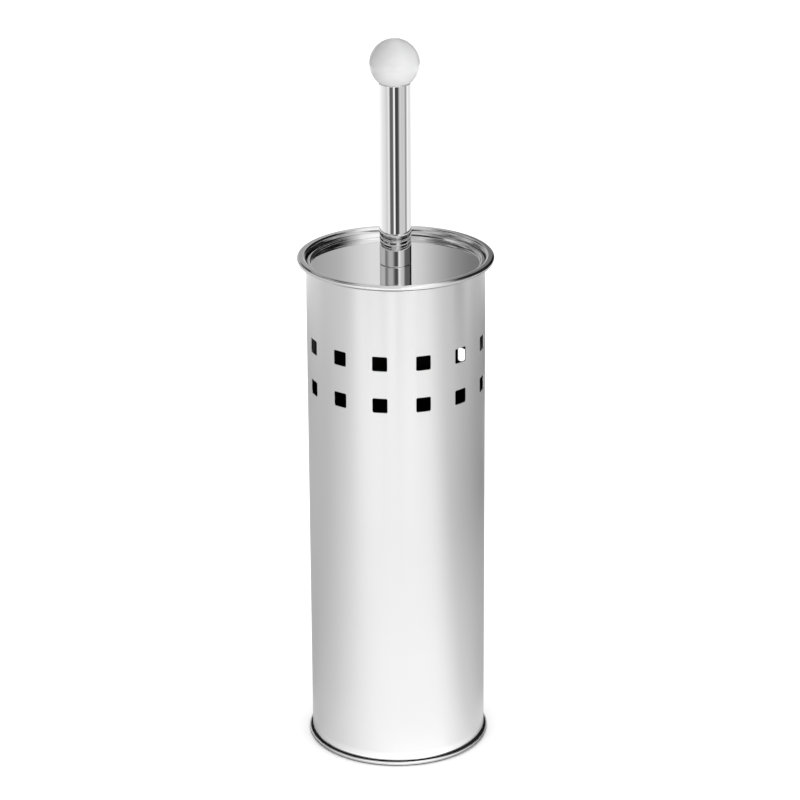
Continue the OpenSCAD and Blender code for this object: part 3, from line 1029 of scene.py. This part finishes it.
TENT_WALL = [
    (0.0, FAR_FLOOR), (0.02, FAR_FLOOR), (0.032, HANDLE_BELT), (0.195, HANDLE_BELT), (0.21, FILL_BELT),
    (0.29, FILL_BELT), (0.31, LOW_BELT), (0.415, LOW_BELT), (0.43, EDGE_BELT), (0.495, EDGE_BELT),
    (0.51, MIDDLE_BELT), (0.575, MIDDLE_BELT), (0.59, DARK_BELT), (0.65, DARK_BELT), (0.665, HIGH_BELT),
    (0.78, HIGH_BELT), (0.81, UPPER_BELT), (1.0, UPPER_BELT), (1.05, TOP_BELT), (1.22, TOP_BELT),
    (TENT_H, ROOF_EDGE)
]
TENT_FLOOR = [
    (0.04, CONTACT), (0.0542, CONTACT), (0.0552, SKIRTING), (0.072, SKIRTING), (0.084, NEAR_FLOOR),
    (0.2, NEAR_FLOOR), (0.36, MID_FLOOR), (0.38, SHADE_RING), (0.46, SHADE_RING), (0.48, MID_FLOOR),
    (0.52, MID_FLOOR), (0.68, FAR_FLOOR), (TENT_R, FAR_FLOOR)
]
TENT_ROOF = [
    (0.02, ZENITH), (0.12, ZENITH), (0.25, CEILING), (0.4, CEILING), (0.5, ROOF_EDGE), (TENT_R, ROOF_EDGE)
]

# The card behind the lid, whose mirror image gives the flat floor its light and dark sides.
LID_CARD_R = 0.74
LID_CARD_Z = (0.44, 0.66)
LID_CARD = [
    (164, 0.12), (170, 0.18), (172, 0.23), (173, 0.33), (174, 0.52), (175, 0.74), (176, 0.87), (178, 0.87),
    (179, 0.72), (180, 0.53), (181.5, 0.43), (185, 0.41), (189, 0.45)
]


def level_at(stops, azimuth):
    return float(np.interp(azimuth, [s[0] for s in stops], [s[1] for s in stops]))


def hide_from(thing, *rays):
    for ray in rays:
        setattr(thing, "visible_" + ray, False)


def glow_belt(name, rings, azimuths):
    """A belt of rings, each (radius, height, stops), that only glossy rays see. Points carry the level."""
    verts, levels = [], []
    for radius, z, stops in rings:
        for azimuth in azimuths:
            a = math.radians(azimuth - 90.0)
            verts.append((radius * math.cos(a), radius * math.sin(a), z))
            levels.append(level_at(stops, azimuth))
    count = len(azimuths)
    faces = []
    for row in range(len(rings) - 1):
        for k in range(count - 1):
            a, b = row * count + k, (row + 1) * count + k
            faces.append((a, a + 1, b + 1, b))
    mesh = bpy.data.meshes.new(name)
    mesh.from_pydata(verts, [], faces)
    mesh.attributes.new("level", "FLOAT", "POINT").data.foreach_set("value", levels)
    belt = in_scene(name, mesh)
    material, tree, shader = emitter(name + "_glow", grey(1.0), 1.0)
    level = add_node(tree, "ShaderNodeAttribute")
    level.attribute_name = "level"
    link(tree, level.outputs["Fac"], shader.inputs["Strength"])
    mesh.materials.append(material)
    hide_from(belt, "camera", "diffuse", "shadow", "transmission", "volume_scatter")


def add_tent():
    around = np.linspace(-180, 180, TENT_STEPS + 1)
    glow_belt("tent_wall", [(TENT_R, z, stops) for z, stops in TENT_WALL], around)
    glow_belt("tent_floor", [(r, TENT_FLOOR_Z, stops) for r, stops in TENT_FLOOR], around)
    glow_belt("tent_roof", [(r, TENT_H, stops) for r, stops in TENT_ROOF], around)
    behind = np.linspace(LID_CARD[0][0], LID_CARD[-1][0], LID_CARD_STEPS + 1)
    glow_belt("lid_card", [(LID_CARD_R, z, LID_CARD) for z in LID_CARD_Z], behind)


# Flags near the knob: (name, place beside the knob's middle, half the side, whether it stands upright).
KNOB_FLAGS = (
    ("knob_side_flag", (-0.075, 0.0, 0.0), 0.045, True),
    ("knob_top_flag", (-0.01, -0.01, 0.06), 0.03, False),
)


def add_knob_flags():
    """Square dark flags that shade one side and the top of the knob; no camera or mirror sees them."""
    middle = (top_of("ball_knob") + bottom_of("ball_knob")) / 2 * MM
    for name, (x, y, above), half, upright in KNOB_FLAGS:
        z = middle + above
        corners = []
        for u, v in ((-half, -half), (half, -half), (half, half), (-half, half)):
            corners.append((x, y + u, z + v) if upright else (x + u, y + v, z))
        mesh = bpy.data.meshes.new(name)
        mesh.from_pydata(corners, [], [(0, 1, 2, 3)])
        mesh.materials.append(emitter(name + "_cloth", grey(0.0), 0.0)[0])
        flag = in_scene(name, mesh)
        hide_from(flag, "camera", "glossy", "shadow")


# ---------------------------------------------------------------- put it together

add_camera()
add_floor()
set_world()
add_top_box()
add_tent()
add_knob_flags()
bpy.context.scene.view_settings.view_transform = "Standard"

satin = brushed_steel()
mirror = polished_steel("polished_steel")
chrome = polished_steel("handle_chrome", (0.004, 0.016), 0.80)
# Painted shade: the rim's colour is dark below a line just above the tube's top, in the gap under the lip.
rim_mirror = polished_steel("rim_mirror", painted_shade_z=top_of("body_shell") + 1.05)
steel = plain_steel()
rubber = black_rubber()
cup_plastic = moulded_plastic("cup_plastic", (0.03, 0.03, 0.032), (0.045, 0.045, 0.047), (0.4, 0.55))
core_plastic = moulded_plastic("core_plastic", (0.78, 0.78, 0.76), (0.84, 0.84, 0.82), (0.3, 0.42))
nylon = bristle_nylon()
milky = frosted_acrylic()

perforated_tube(satin)
rim_with_lip(rim_mirror)
base_dish_with_edge(mirror)
gasket(rubber)
pad(rubber)
drip_cup_piece(cup_plastic)
lid_pan(mirror)
hollow_tube("handle_chrome_tube", "handle_tube", 1.0, chrome, foot_round=0.45)
hollow_tube("stem_chrome_tube", "stem_tube", 0.8, chrome, foot_round=0.12)
knob(milky)
hex_nut(steel)
core_piece(core_plastic)
side_tufts(nylon)
tip_tufts(nylon)

KEPT_NODES = {
    "inner_base_pan": steel, "base_rivets": steel, "lid_washer": rubber, "clamp_stud": steel,
    "handle_bottom_plug": steel, "handle_top_plug": steel, "knob_stud": steel,
    "stem_top_plug": steel, "stem_bottom_plug": steel,
}
for node_name, material in KEPT_NODES.items():
    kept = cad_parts[node_name]
    for material_slot in kept.material_slots:
        material_slot.material = material
